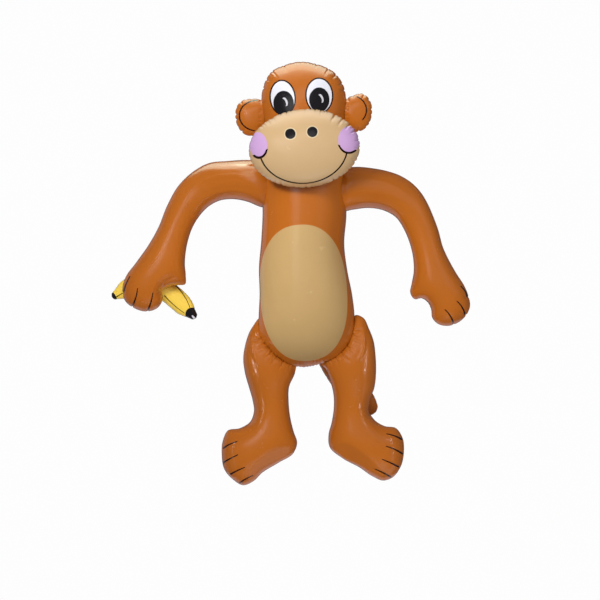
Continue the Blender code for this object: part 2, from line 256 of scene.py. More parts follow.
def nearest_on_rim(points, rim):
    """Distance to the rim, and how far round the rim the nearest place is."""
    edge = np.roll(rim, -1, axis=0) - rim
    span = np.linalg.norm(edge, axis=1)
    start_run = np.concatenate([[0], np.cumsum(span)[:-1]])
    depth = np.empty(len(points))
    along = np.empty(len(points))
    for block in blocks(len(points)):
        offset = points[block][:, None] - rim[None]
        t = np.clip((offset * edge).sum(-1) / (span * span), 0, 1)
        gap = np.linalg.norm(offset - t[..., None] * edge, axis=-1)
        best = gap.argmin(axis=1)
        rows = np.arange(len(block))
        depth[block] = gap[rows, best]
        along[block] = start_run[best] + t[rows, best] * span[best]
    return depth, along


def inside(points, rim):
    """True for the points that the rim goes round."""
    x0, y0 = rim[:, 0], rim[:, 1]
    x1, y1 = np.roll(x0, -1), np.roll(y0, -1)
    drop = np.where(y1 == y0, 1, y1 - y0)
    answer = np.empty(len(points), dtype=bool)
    for block in blocks(len(points)):
        x, y = points[block, 0, None], points[block, 1, None]
        spans = (y0 > y) != (y1 > y)
        crossing = x0 + (y - y0) * (x1 - x0) / drop
        answer[block] = (spans & (x < crossing)).sum(axis=1) % 2 == 1
    return answer


# %% Points and triangles of a panel
RIM_ROWS = np.array([0.9, 2.3, 4.2, 6.6, 9.6]) * MM
ROW_SLACK = 0.85
FINE_STEP = 1.5 * MM
MERGE_WITHIN = 1e-8


def hexagonal_grid(low, high, step):
    columns = np.arange(0, (high[0] - low[0]) / step + 1)
    rows = np.arange(0, (high[1] - low[1]) / (step * math.sqrt(3) / 2) + 1)
    x, y = np.meshgrid(columns, rows)
    x = x + 0.5 * (y % 2)
    return np.column_stack([low[0] + step * x.ravel(),
                            low[1] + step * math.sqrt(3) / 2 * y.ravel()])


def panel(outline, rim_step, grid_step, fine=None):
    """Points of a panel with the rim's first, its triangles, and the number on the rim.
    Where fine says so, the grid is FINE_STEP instead."""
    rim = even_outline(outline, rim_step)
    tangent = np.roll(rim, -1, axis=0) - np.roll(rim, 1, axis=0)
    tangent /= np.linalg.norm(tangent, axis=1)[:, None]
    inward = np.column_stack([-tangent[:, 1], tangent[:, 0]])
    groups = [rim]
    for row_depth in RIM_ROWS:
        row = rim + inward * row_depth
        depth, _ = nearest_on_rim(row, rim)
        groups.append(row[inside(row, rim) & (depth > ROW_SLACK * row_depth)])
    low, high = rim.min(axis=0), rim.max(axis=0)
    grid = hexagonal_grid(low, high, grid_step)
    if fine is not None:
        closer = hexagonal_grid(low, high, FINE_STEP)
        grid = np.vstack([grid[~fine(grid)], closer[fine(closer)]])
    grid = grid[inside(grid, rim)]
    depth, _ = nearest_on_rim(grid, rim)
    groups.append(grid[depth > RIM_ROWS[-1] + 0.6 * FINE_STEP])
    raw = np.vstack(groups)
    rim_edges = [(i, (i + 1) % len(rim)) for i in range(len(rim))]
    found, _, faces, sources, _, _ = delaunay_2d_cdt(
        [Vector(p) for p in raw], rim_edges, [], 1, MERGE_WITHIN)
    order = np.argsort([min(s) if s else len(raw) for s in sources], kind="stable")
    place = np.argsort(order)
    points = np.array([found[i] for i in order])
    triangles = place[np.array(faces)]
    return points, triangles, len(rim)


# %% [markdown]
# ## The swell
#
# A film that is welded round its rim and blown up rises like a soap film. The square of its
# height solves a Poisson equation, which makes a long strip swell to a half circle, just as
# an air tube does, and makes hands and feet swell by how wide they are. A few hundred steps
# of the conjugate gradient method solve it. A cloth simulation would find much the same
# swell, though more slowly, and it would pull the outline in, away from the frame.


# %% Height of the film
SOLVED = 1e-10


def film_height(points, triangles, rim_count, steps=400):
    """Height of a blown-up film over its weld, by the conjugate gradient method."""
    corners = points[triangles]
    edges = corners[:, [2, 0, 1]] - corners[:, [1, 2, 0]]
    area = np.abs(edges[:, 0, 0] * edges[:, 1, 1] - edges[:, 0, 1] * edges[:, 1, 0]) / 2
    area = np.maximum(area, 1e-12)
    local = np.einsum("nik,njk->nij", edges, edges) / (4 * area)[:, None, None]
    rows = np.repeat(triangles, 3, axis=1).ravel()
    columns = np.tile(triangles, (1, 3)).ravel()
    weights = local.ravel()
    count = len(points)
    load = np.bincount(triangles.ravel(), np.repeat(2 * area / 3, 3), count)
    diagonal = np.bincount(rows[rows == columns], weights[rows == columns], count)
    free = np.arange(count) >= rim_count
    square = np.zeros(count)
    left_over = np.where(free, load, 0)
    heading = left_over / diagonal
    measure = left_over @ heading
    goal = measure * SOLVED
    for _ in range(steps):
        pull = np.where(free, np.bincount(rows, weights * heading[columns], count), 0)
        stride = measure / (heading @ pull)
        square += stride * heading
        left_over = left_over - stride * pull
        eased = left_over / diagonal
        new_measure = left_over @ eased
        if new_measure < goal:
            break
        heading = eased + new_measure / measure * heading
        measure = new_measure
    return np.sqrt(np.maximum(square, 0))


# %% [markdown]
# ## Puckers
#
# Flat film can't curve two ways, so beside a weld that bends the spare film folds into
# puckers that run straight in from the weld and fade out. Each pucker is a groove with its
# own place, depth and reach. They are pressed into the mesh itself, because they notch the
# outline too, which bump mapping can't do. A cleft is a deeper groove at a known place, and a
# ridge is a long soft fold that follows a line across the film.

# %% Grooves along a rim
GROOVE_FADE = 1.2
GROOVE_SHARPNESS = 1.3


def ease(value):
    """Smooth step from nought to one."""
    value = np.clip(value, 0, 1)
    return value * value * (3 - 2 * value)


def grooves(length, depth, along, marks, spacing, width, start=0.0):
    """Depth of grooves that run in from a line. A mark is a place along it, a size, a reach."""
    total = np.zeros(len(depth))
    for centre, size, reach in marks:
        gap = np.abs((along - centre + length / 2) % length - length / 2)
        near = (gap < spacing) & (depth < reach)
        inward = depth[near] / reach
        fade = (1 - inward) ** GROOVE_FADE
        if start:
            fade *= ease(depth[near] / start)
        spread = spacing * (width[0] + (width[1] - width[0]) * inward)
        total[near] += size * np.exp(-((gap[near] / spread) ** GROOVE_SHARPNESS)) * fade
    return total


# %% Puckers at uneven places, and clefts at known ones
SLIGHT = 0.02 * MM
UNEVENNESS = 0.32
LEAST_SIZE = 0.3
LEAST_REACH = 0.35
CLEFT_SPAN = 16 * MM
CLEFT_WIDTH = (0.08, 0.15)


def puckers(line, depth, along, spacing, size, reach, seed, strength=None, start=0.0,
            width=(0.11, 0.27)):
    """Grooves at uneven places all along a line."""
    length = run_lengths(np.vstack([line, line[:1]]))[-1]
    count = round(length / spacing)
    draw = np.random.default_rng(seed)
    strays = draw.uniform(-UNEVENNESS, UNEVENNESS, count)
    centres = (np.arange(count) + strays) * length / count
    sizes = size * draw.uniform(LEAST_SIZE, 1.0, count)
    reaches = reach * draw.uniform(LEAST_REACH, 1.0, count)
    at_line = line[np.minimum((centres / length * len(line)).astype(int), len(line) - 1)]
    if strength is not None:
        sizes = sizes * strength(at_line)
    marks = [mark for mark in zip(centres, sizes, reaches) if mark[1] > SLIGHT]
    return grooves(length, depth, along, marks, spacing, width, start)


def clefts(line, depth, along, places):
    """Deep grooves at known places, each given as x, y, size and reach."""
    length = run_lengths(np.vstack([line, line[:1]]))[-1]
    _, centres = nearest_on_rim(scaled([place[:2] for place in places]), line)
    marks = [(centre, size * MM, reach * MM)
             for centre, (_, _, size, reach) in zip(centres, places)]
    return grooves(length, depth, along, marks, CLEFT_SPAN, CLEFT_WIDTH)


# %% Long soft ridges
RIDGE_FADE = 3.5


def ridge(places, line, width, size):
    """Height of a long soft ridge that follows a line and fades at its ends."""
    path = smooth_line(scaled(line), closed=False)
    run = run_lengths(path)
    height = np.empty(len(places))
    for block in blocks(len(places)):
        gaps = np.linalg.norm(places[block, None] - path[None], axis=-1)
        nearest = gaps.argmin(axis=1)
        share = run[nearest] / run[-1]
        fade = ease(RIDGE_FADE * share) * ease(RIDGE_FADE * (1 - share))
        height[block] = np.exp(-((gaps.min(axis=1) / width) ** 2)) * fade
    return size * height


# %% [markdown]
# ## A chamber
#
# Two panels share one weld. The front panel rises from it and the back panel falls, and
# where the chamber lies on the floor the film is pressed flat. `shape` lets a foot have its
# flat sole and a shoulder its pinch. Extruding the outline and bevelling it would be quicker,
# but the front would stay flat, and a blown-up film is flat nowhere.


# %% Soft limits and normals
def soft_max(a, b, softness):
    """The larger of two heights, with a rounded change from one to the other."""
    return softness * np.logaddexp(a / softness, b / softness)


def soft_min(a, b, softness):
    return -soft_max(-a, -b, softness)


def surface_normals(points, triangles):
    corners = points[triangles]
    facing = np.cross(corners[:, 1] - corners[:, 0], corners[:, 2] - corners[:, 0])
    normals = np.column_stack([
        np.bincount(triangles.ravel(), np.repeat(facing[:, k], 3), len(points))
        for k in range(3)])
    return normals / np.maximum(np.linalg.norm(normals, axis=1), 1e-15)[:, None]


# %% Closed mesh of an air chamber
FLOOR_SKIN = 0.1 * MM
PRESS_SOFTNESS = 1.5 * MM


def chamber(name, outline, weld, front=None, back=None, rim_step=2.0 * MM, grid_step=2.9 * MM,
            fine=None, folds=(), marks=(), ridges=(), shape=None):
    """Film of one air chamber. weld gives the height of its weld and shape what presses it.
    folds are its puckers, marks its deepest clefts and ridges its long soft ridges."""
    points, triangles, rim_count = panel(outline, rim_step, grid_step, fine)
    film = film_height(points, triangles, rim_count)
    level = weld(points, film)
    rise = film * (front / film.max() if front else 1)
    fall = film * (back / film.max() if back else 1)
    if shape is not None:
        rise, fall = shape(points, rise, fall)
    count = len(points)
    top = np.column_stack([points, level + rise])
    bottom = np.column_stack([points, level - fall])[rim_count:]
    under = np.where(np.arange(count) < rim_count, np.arange(count),
                     np.arange(count) + count - rim_count)
    solid = np.vstack([top, bottom])
    faces = np.vstack([triangles, under[triangles][:, ::-1]])
    rim = points[:rim_count]
    depth, along = nearest_on_rim(points, rim)
    depth = np.concatenate([depth, depth[rim_count:]])
    along = np.concatenate([along, along[rim_count:]])
    flat = solid[:, :2].copy()
    normals = surface_normals(solid, faces)
    groove = np.zeros(len(solid))
    for fold in folds:
        fold = dict(fold)
        line = fold.pop("line", None)
        if line is None:
            groove += puckers(rim, depth, along, **fold)
        else:
            groove += puckers(line, *nearest_on_rim(flat, line), **fold)
    if marks:
        groove += clefts(rim, depth, along, marks)
    swell = np.zeros(len(solid))
    for line, width, size in ridges:
        swell += ridge(flat, line, width * MM, size * MM)
    swell[count:] = 0
    solid += normals * (swell - groove)[:, None]
    solid[:, 2] = soft_max(solid[:, 2], np.full(len(solid), FLOOR_SKIN), PRESS_SOFTNESS)
    mesh = bpy.data.meshes.new(name)
    mesh.from_pydata(solid.tolist(), [], faces.tolist())
    mesh.shade_smooth()
    piece = bpy.data.objects.new(name, mesh)
    bpy.context.scene.collection.objects.link(piece)
    print(f"{name}: {len(faces)} triangles, {solid[:, 2].max() * 1000:.0f} mm high")
    return piece


# %% [markdown]
# ## Where each weld runs
#
# The torso lies along the floor on its back, and the limbs come down from it until they rest
# too. The pillows of the head have level welds, and the frame's boxes say how high. A rigid
# body simulation could drop the limbs to the floor, but the heights would then no longer be
# the frame's.


# %% Heights of the welds
TORSO_FLATTENING = 4 * MM
LIMB_FLATTENING = 2 * MM
CHEST_Y = 137
BELLY_Y = -110
ARM_ROOT_X = 98
ARM_REST_X = 270
LEG_ROOT_Y = -170
LEG_REST_Y = -370
LEVEL_BAND = 10 * MM
root_heights = {}


def middle_height(node):
    low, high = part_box(node)
    return (low[2] + high[2]) / 2


def depth_of(node):
    low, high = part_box(node)
    return high[2] - low[2]


def flat_weld(height):
    return lambda points, film: np.full(len(points), height)


# %% Welds of the torso and of a limb
def torso_weld(points, film):
    """Runs straight from the chest to the belly, each as high as its tube is thick."""
    for place, y in (("chest", CHEST_Y), ("belly", BELLY_Y)):
        band = np.abs(points[:, 1] - y * UNIT) < LEVEL_BAND
        root_heights[place] = film[band].max() - TORSO_FLATTENING
    along = (points[:, 1] - CHEST_Y * UNIT) / ((BELLY_Y - CHEST_Y) * UNIT)
    drop = root_heights["belly"] - root_heights["chest"]
    return root_heights["chest"] + drop * np.clip(along, 0, 1)


def limb_weld(root_height, travel):
    """Comes down from the root until the limb rests. travel says how far along it is."""
    def weld(points, film):
        along = travel(points)
        resting = film[along >= 1].max() - LIMB_FLATTENING
        return root_height + (resting - root_height) * ease(along)
    return weld


def arm_travel(points):
    reach = np.abs(points[:, 0]) - ARM_ROOT_X * UNIT
    return np.clip(reach / ((ARM_REST_X - ARM_ROOT_X) * UNIT), 0, 1)


def leg_travel(points):
    reach = LEG_ROOT_Y * UNIT - points[:, 1]
    return np.clip(reach / ((LEG_ROOT_Y - LEG_REST_Y) * UNIT), 0, 1)


# %% [markdown]
# ## The torso
#
# One long tube. It is smooth down both sides, and its lower end is gathered where the welds
# of the legs run round it. A cylinder could stand for it, but the swell of its own outline
# also rounds the shoulders and the seat, and the limbs then meet it as they do on the toy.

# %% How the film is pulled at the hips
SEAT_FOLDS_Y, SEAT_FOLDS_FADE = -120, 60
HIP_FOLDS_Y, HIP_FOLDS_FADE = -118, 30
HIP_LIFT = 15 * MM
HIP_LIFT_REACH = 12 * MM
HIP_ZONE, HIP_ZONE_Y = 46 * MM, -100
hip_rim = even_outline(scaled(TORSO_OUTLINE), 3 * MM)


def beside_hip(places):
    return ease((HIP_FOLDS_Y * UNIT - places[:, 1]) / (HIP_FOLDS_FADE * UNIT))


def at_seat(places):
    return ease((SEAT_FOLDS_Y * UNIT - places[:, 1]) / (SEAT_FOLDS_FADE * UNIT))


def hip_lift(points, rise):
    """Beside the hip the two films pull at their weld and open the groove between them."""
    off_hip, _ = nearest_on_rim(points, hip_rim)
    pull = HIP_LIFT * np.exp(-((off_hip / HIP_LIFT_REACH) ** 2)) * beside_hip(points)
    return np.sqrt(rise ** 2 + pull ** 2)


def hip_zone(places):
    off_hip, _ = nearest_on_rim(places, hip_rim)
    return (off_hip < HIP_ZONE) & (places[:, 1] < HIP_ZONE_Y * UNIT)


# %% Torso
TORSO_FINE_REACH = 20 * MM
WELD_RIDGE_RIGHT = [
    (-111, -128), (-104, -151), (-92, -171), (-81, -190), (-67, -204), (-49, -216),
]
WELD_RIDGE_LEFT = [
    (122, -132), (117, -152), (107, -184), (88, -199), (66, -210), (52, -215),
]


def torso_fine(places):
    off_hip, _ = nearest_on_rim(places, hip_rim)
    return hip_zone(places) & (off_hip < TORSO_FINE_REACH)


torso = chamber(
    "film_torso", scaled(TORSO_OUTLINE), torso_weld, fine=torso_fine,
    shape=lambda points, rise, fall: (hip_lift(points, rise), fall),
    ridges=[(WELD_RIDGE_RIGHT, 2.0, 2.0), (WELD_RIDGE_LEFT, 2.0, 1.7)],
    folds=[dict(spacing=7 * MM, size=2.4 * MM, reach=20 * MM, seed=11, strength=at_seat,
                width=(0.16, 0.26))])

# %% [markdown]
# ## Legs
#
# A thigh is gathered all along the hip weld, and its ankle creases where the tube bends
# into the foot. The sole is a flat panel, so the film makes a long soft ridge along it.
# Sculpting could give such folds, though each by hand. Here they are drawn from a spacing, a
# size and a reach, and a seed keeps them the same each time.

# %% The flat sole of a foot
FOOT_Y = -340
SOLE_RISE = 0.95
SOLE_EDGE_RISE = 15 * MM
SOLE_SOFTNESS = 0.9 * MM


def leg_shape(edge):
    """Holds the front of a foot below a plane that rises inward from the sole's edge."""
    start, end = scaled(edge)
    run = (end - start) / np.linalg.norm(end - start)
    inward = np.array([-run[1], run[0]])
    inward = inward if inward[1] > 0 else -inward

    def shape(points, rise, fall):
        off_edge = np.maximum((points - start) @ inward, 0)
        foot = points[:, 1] < FOOT_Y * UNIT
        plane = SOLE_EDGE_RISE + SOLE_RISE * off_edge
        held = np.maximum(soft_min(rise, plane, SOLE_SOFTNESS), 0)
        rise = np.where(foot & (rise > 0), held, rise)
        return hip_lift(points, rise), fall
    return shape


def around(place, radius):
    """Strength that is one near a place and fades out round its radius."""
    centre = np.array(place) * UNIT
    return lambda places: ease(1.5 - np.linalg.norm(places - centre, axis=1) / (radius * UNIT))


# %% Legs
SOLE_RIGHT_EDGE = [(-18, -428), (-118, -498)]
SOLE_LEFT_EDGE = [(60, -420), (162, -488)]
ANKLE_RIGHT = (-112, -332)
ANKLE_LEFT = (150, -335)
THIGH_RIDGE_RIGHT = [(-121, -130), (-121, -160), (-118, -190), (-110, -212), (-93, -238)]
THIGH_RIDGE_LEFT = [(135, -120), (141, -150), (141, -177), (138, -195), (117, -228)]


def build_leg(name, outline, sole_edge, ankle, thigh_ridge, seed):
    return chamber(
        name, scaled(outline), limb_weld(root_heights["belly"], leg_travel), rim_step=1.6 * MM,
        shape=leg_shape(sole_edge), ridges=[(thigh_ridge, 4.4, 2.4)],
        fine=lambda places: hip_zone(places) | (around(ankle, 34)(places) > 0.2),
        folds=[
            dict(line=hip_rim, spacing=5.6 * MM, size=2.1 * MM, reach=30 * MM, seed=seed,
                 strength=beside_hip, width=(0.2, 0.3)),
            dict(line=hip_rim, spacing=15 * MM, size=4.0 * MM, reach=34 * MM, seed=seed + 1,
                 strength=beside_hip, width=(0.12, 0.24)),
            dict(spacing=5.2 * MM, size=2.4 * MM, reach=32 * MM, seed=seed + 2, start=11 * MM,
                 strength=around(ankle, 22), width=(0.2, 0.3)),
        ])


leg_right = build_leg("film_leg_right", LEG_RIGHT_OUTLINE, SOLE_RIGHT_EDGE, ANKLE_RIGHT,
                      THIGH_RIDGE_RIGHT, 21)
leg_left = build_leg("film_leg_left", LEG_LEFT_OUTLINE, SOLE_LEFT_EDGE, ANKLE_LEFT,
                     THIGH_RIDGE_LEFT, 31)

# %% [markdown]
# ## Arms
#
# Bent tubes with a hand at the end. The film is drawn in a little where it is welded to the
# shoulder, it puckers finely beside the thumb, and the bend of the arm pushes up long soft
# ridges. A bevelled curve makes a tube in one step, but it can't widen into a hand, so the
# arms are swollen from an outline too.

# %% Arms
SHOULDER_X = 88
SHOULDER_PINCH = 0.05
SHOULDER_REACH = 9 * MM
SHOULDER_RIGHT_SEAM = [(-83, 235), (-84, 150)]
SHOULDER_LEFT_SEAM = [(92, 235), (95, 140)]
THUMB_RIGHT = (-318, -42)
THUMB_LEFT = (285, -72)
ARM_RIGHT_RIDGES = [
    ([(-283, 172), (-262, 196), (-242, 208), (-204, 219), (-150, 222), (-118, 217)], 4.2, 1.3),
    ([(-262, 128), (-238, 165), (-209, 180), (-171, 186), (-144, 184), (-100, 167)], 4.2, 1.3),
    ([(-291, -18), (-309, -20), (-324, -28), (-335, -41), (-342, -57), (-341, -74)], 3.6, -1.5),
    ([(-300, -1), (-324, -8), (-342, -22), (-354, -40), (-358, -70)], 4.2, 0.9),
]
FINGER_CLEFTS_RIGHT = [(-425, -54, 2.0, 14), (-403, -85, 2.4, 16), (-368, -97, 2.4, 16)]
FINGER_CLEFTS_LEFT = [(388, -64, 2.0, 14), (383, -106, 2.4, 16), (354, -128, 2.4, 16)]
ARM_LEFT_RIDGES = [
    ([(110, 158), (152, 161), (185, 158), (216, 144), (242, 112)], 4.2, 1.2),
    ([(117, 178), (161, 182), (209, 174), (246, 149), (268, 105)], 4.2, 0.7),
    ([(138, 214), (180, 210), (220, 196), (249, 172)], 4.0, 0.6),
]


def shoulder_shape(points, rise, fall):
    off_weld = np.abs(points[:, 0]) - SHOULDER_X * UNIT
    pinch = 1 - SHOULDER_PINCH * np.exp(-((off_weld / SHOULDER_REACH) ** 2))
    return rise * pinch, fall * pinch


def straight_line(ends, step=2 * MM):
    start, end = scaled(ends)
    count = max(2, round(np.linalg.norm(end - start) / step))
    return start + np.linspace(0, 1, count)[:, None] * (end - start)


def build_arm(name, outline, thumb, seam, ridges, fingers, seed):
    return chamber(
        name, scaled(outline), limb_weld(root_heights["chest"], arm_travel), grid_step=2.3 * MM,
        shape=shoulder_shape, ridges=ridges, marks=fingers,
        folds=[
            dict(spacing=6 * MM, size=1.3 * MM, reach=14 * MM, seed=seed,
                 strength=around(thumb, 26), width=(0.16, 0.3)),
            dict(line=straight_line(seam), spacing=7 * MM, size=1.6 * MM, reach=14 * MM,
                 seed=seed + 1, width=(0.2, 0.3)),
        ])


arm_right = build_arm("film_arm_right", ARM_RIGHT_OUTLINE, THUMB_RIGHT, SHOULDER_RIGHT_SEAM,
                      ARM_RIGHT_RIDGES, FINGER_CLEFTS_RIGHT, 41)
arm_left = build_arm("film_arm_left", ARM_LEFT_OUTLINE, THUMB_LEFT, SHOULDER_LEFT_SEAM,
                     ARM_LEFT_RIDGES, FINGER_CLEFTS_LEFT, 51)

# %% [markdown]
# ## Head, muzzle and ears
#
# These are pillows, and a pillow is gathered all the way round. The head has small gathers
# everywhere and a few deep ones beside its crown. Only the deep ones are placed one by one,
# because they are the ones that notch its outline.

# %% Head
PILLOW_STEPS = dict(rim_step=1.4 * MM, grid_step=2.3 * MM)
HEAD_CLEFTS = [
    (57, 471, 3.2, 20), (77, 459, 2.6, 18), (88, 437, 2.6, 18), (96, 422, 2.2, 14),
    (30, 481, 2.2, 16), (22, 484, 1.6, 12), (-46, 480, 2.2, 18), (-74, 467, 2.6, 20),
    (-88, 448, 2.2, 16), (-97, 428, 2.2, 14),
]
head_height = middle_height("head")
head_depth = depth_of("head")
head = chamber(
    "film_head", scaled(HEAD_OUTLINE), flat_weld(head_height), front=head_depth / 2,
    back=head_depth / 2, marks=HEAD_CLEFTS, **PILLOW_STEPS,
    folds=[dict(spacing=14 * MM, size=1.1 * MM, reach=18 * MM, seed=61, width=(0.14, 0.25))])

# %% [markdown]
# The muzzle is a pillow of its own, blown up in front of the head. A flattened sphere would
# come close, but it would have neither the thin weld nor the gathers that run in from it.

# %% Muzzle
MUZZLE_FRONT = 54 * MM
MUZZLE_BACK = 42 * MM
MUZZLE_CLEFTS = [
    (-95, 344, 2.2, 13), (-84, 350, 2.2, 14), (-72, 356, 2.6, 16), (-41, 371, 2.4, 14),
    (41, 376, 2.6, 18), (72, 363, 4.2, 26), (93, 356, 4.2, 26), (112, 344, 4.2, 25),
    (118, 324, 3.6, 22), (127, 303, 3.0, 18), (131, 286, 2.2, 14), (122, 254, 2.2, 14),
]
muzzle_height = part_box("muzzle")[1][2] - MUZZLE_FRONT
muzzle_outline = scaled(ellipse(MUZZLE_CENTRE, MUZZLE_HALF_AXES, MUZZLE_TILT))
muzzle = chamber(
    "film_muzzle", muzzle_outline, flat_weld(muzzle_height), front=MUZZLE_FRONT,
    back=MUZZLE_BACK, marks=MUZZLE_CLEFTS, **PILLOW_STEPS,
    folds=[dict(spacing=13 * MM, size=2.4 * MM, reach=16 * MM, seed=71, width=(0.13, 0.24))])

# %% [markdown]
# An ear is a small pillow whose inner side is welded to the head, and the film is crimped
# along that seam. Both ears come from one loop, so they can only differ in their patterns.

# %% Ears
EAR_SEAMS = {"right": [(-102, 400), (-102, 325)], "left": [(102, 405), (102, 330)]}
EAR_FINE_REACH = 10 * MM


def ear_seam_zone(side):
    middle = EAR_SEAMS[side][0][0] * UNIT
    return lambda places: np.abs(places[:, 0] - middle) < EAR_FINE_REACH


ears = {}
for side, outline, seed in (("right", EAR_RIGHT_OUTLINE, 81), ("left", EAR_LEFT_OUTLINE, 91)):
    ear_depth = depth_of("ear_" + side)
    ears[side] = chamber(
        "film_ear_" + side, scaled(outline), flat_weld(middle_height("ear_" + side)),
        front=ear_depth / 2, back=ear_depth / 2, fine=ear_seam_zone(side),
        rim_step=1.4 * MM, grid_step=2.0 * MM,
        folds=[
            dict(spacing=15 * MM, size=3.2 * MM, reach=18 * MM, seed=seed, width=(0.15, 0.26)),
            dict(line=straight_line(EAR_SEAMS[side]), spacing=7 * MM, size=2.2 * MM,
                 reach=9 * MM, seed=seed + 1, width=(0.2, 0.3)),
        ])

# %% [markdown]
# ## Tail and banana
#
# Both lie flat on the floor. The banana is a toy of its own that the right hand holds. A
# curve with a bevel could make either, but it has no weld round it, and its gathers would
# have to be painted. So both are a middle line with a width, swollen as the rest is.

# %% Tail
tail_depth = depth_of("tail")
tail_outline = scaled(round_ended(
    TAIL_LINE, lambda t: TAIL_HALF_WIDTH * (1 - TAIL_TAPER * t ** 3)))
tail = chamber(
    "film_tail", tail_outline, flat_weld(tail_depth / 2), front=tail_depth / 2,
    back=tail_depth / 2,
    folds=[dict(spacing=14 * MM, size=0.8 * MM, reach=12 * MM, seed=101)])

# %% Banana
banana_depth = depth_of("banana")
banana_outline = scaled(round_ended(
    BANANA_LINE, lambda t: BANANA_HALF_WIDTH * (1 - BANANA_TAPER * (2 * t - 1) ** 6)))
banana = chamber(
    "film_banana", banana_outline, flat_weld(banana_depth / 2), front=banana_depth / 2,
    back=banana_depth / 2, rim_step=1.6 * MM, grid_step=2.2 * MM,
    folds=[dict(spacing=14 * MM, size=0.8 * MM, reach=9 * MM, seed=111)])

# %% [markdown]
# ## Welds between chambers
#
# Two chambers that are welded together share no space: the film of one stops at the film of
# the other. Each piece that meets another is cut back by a copy of it that is swollen by a
# third of a millimetre, so the line between them stays sharp. Joining all of them with a
# voxel remesh would be simpler, but it would round every weld and leave one piece of eleven.

# %% Cut the pieces back where they meet
CLEARANCE = 0.3 * MM
SHARP_EDGE = math.radians(75)


def cut_back(piece, *neighbours):
    for neighbour in neighbours:
        mesh = neighbour.data.copy()
        normals = [vertex.normal.copy() for vertex in mesh.vertices]
        for vertex, normal in zip(mesh.vertices, normals):
            vertex.co += normal * CLEARANCE
        cutter = bpy.data.objects.new("cutter", mesh)
        bpy.context.scene.collection.objects.link(cutter)
        modifier = piece.modifiers.new("meets", "BOOLEAN")
        modifier.operation = "DIFFERENCE"
        modifier.solver = "MANIFOLD"
        modifier.object = cutter
        evaluated = piece.evaluated_get(bpy.context.evaluated_depsgraph_get())
        kept = bpy.data.meshes.new_from_object(evaluated)
        piece.modifiers.clear()
        piece.data = kept
        bpy.data.objects.remove(cutter)
    piece.data.shade_smooth()
    piece.data.set_sharp_from_angle(angle=SHARP_EDGE)
    print(f"{piece.name}: {len(piece.data.polygons)} faces after its cuts")


cut_back(muzzle, head, torso)
cut_back(head, torso)
for ear in ears.values():
    cut_back(ear, head)
cut_back(arm_right, torso, banana)
cut_back(arm_left, torso)
cut_back(tail, torso)
cut_back(leg_right, torso)
cut_back(leg_left, torso, tail)

# %% [markdown]
# ## Printing
#
# The eyes, cheeks, smile and lines are flat print on the film. A picture laid over the mesh
# could carry them, but it needs a file and unwrapped faces, and it blurs close up. Here each
# is a mask worked out from the place on the film alone, so its edge stays sharp however close
# the view. Three small shader groups do all of it: an oval, a ring and a stroke.


# %% Helpers for shader nodes
def add_node(tree, kind, inputs=(), **settings):
    node = tree.nodes.new(kind)
    for key, value in settings.items():
        setattr(node, key, value)
    for key, value in dict(inputs).items():
        if isinstance(value, bpy.types.NodeSocket):
            tree.links.new(value, node.inputs[key])
        else:
            node.inputs[key].default_value = value
    return node


def calc(tree, operation, a, b=None):
    inputs = {0: a} if b is None else {0: a, 1: b}
    return add_node(tree, "ShaderNodeMath", inputs, operation=operation).outputs[0]


def new_group(name, inputs, outputs):
    group = bpy.data.node_groups.new(name, "ShaderNodeTree")
    for socket, kind, value in inputs:
        made = group.interface.new_socket(socket, in_out="INPUT", socket_type=kind)
        if value is not None:
            made.default_value = value
    for socket, kind in outputs:
        group.interface.new_socket(socket, in_out="OUTPUT", socket_type=kind)
    start = group.nodes.new("NodeGroupInput")
    end = group.nodes.new("NodeGroupOutput")
    return group, start, end


FLOAT, VECTOR, COLOUR = "NodeSocketFloat", "NodeSocketVector", "NodeSocketColor"


# %% Edges, places and distances of a print
def edge_mask(tree, off_edge, softness):
    """One where off_edge is above nought, with a thin soft edge."""
    ramp = add_node(tree, "ShaderNodeMapRange", {0: off_edge, 3: 0.0, 4: 1.0}, clamp=True,
                    interpolation_type="SMOOTHSTEP")
    tree.links.new(calc(tree, "MULTIPLY", softness, -1), ramp.inputs[1])
    tree.links.new(softness, ramp.inputs[2])
    return ramp.outputs[0]


def local_place(tree, position, centre, tilt):
    """Place relative to a centre, turned back by the tilt, as two sockets."""
    offset = add_node(tree, "ShaderNodeVectorMath", {0: position, 1: centre},
                      operation="SUBTRACT").outputs[0]
    turned = add_node(tree, "ShaderNodeVectorRotate", {"Vector": offset},
                      rotation_type="Z_AXIS")
    tree.links.new(calc(tree, "MULTIPLY", tilt, -1), turned.inputs["Angle"])
    split = add_node(tree, "ShaderNodeSeparateXYZ", {0: turned.outputs[0]})
    return split.outputs[0], split.outputs[1]


def oval_distance(tree, x, y, half_x, half_y, power):
    """How far outside an oval a place is: nought on its edge and minus one in its middle."""
    across = calc(tree, "POWER", calc(tree, "ABSOLUTE", calc(tree, "DIVIDE", x, half_x)), power)
    up = calc(tree, "POWER", calc(tree, "ABSOLUTE", calc(tree, "DIVIDE", y, half_y)), power)
    root = calc(tree, "POWER", calc(tree, "ADD", across, up), calc(tree, "DIVIDE", 1, power))
    return calc(tree, "SUBTRACT", root, 1)


# %% [markdown]
# An oval can be more or less square at its corners, which its power sets. A ring is the edge
# of an oval, and a limit says how much of it is printed. A stroke is a pen line that thins
# towards one end, as the printed fingers do.

# %% Oval
PLACE_INPUTS = [("Position", VECTOR, None), ("Centre", VECTOR, (0, 0, 0)),
                ("Tilt", FLOAT, 0.0), ("Half X", FLOAT, 0.01), ("Half Y", FLOAT, 0.01),
                ("Power", FLOAT, 2.0), ("Softness", FLOAT, 0.0004)]


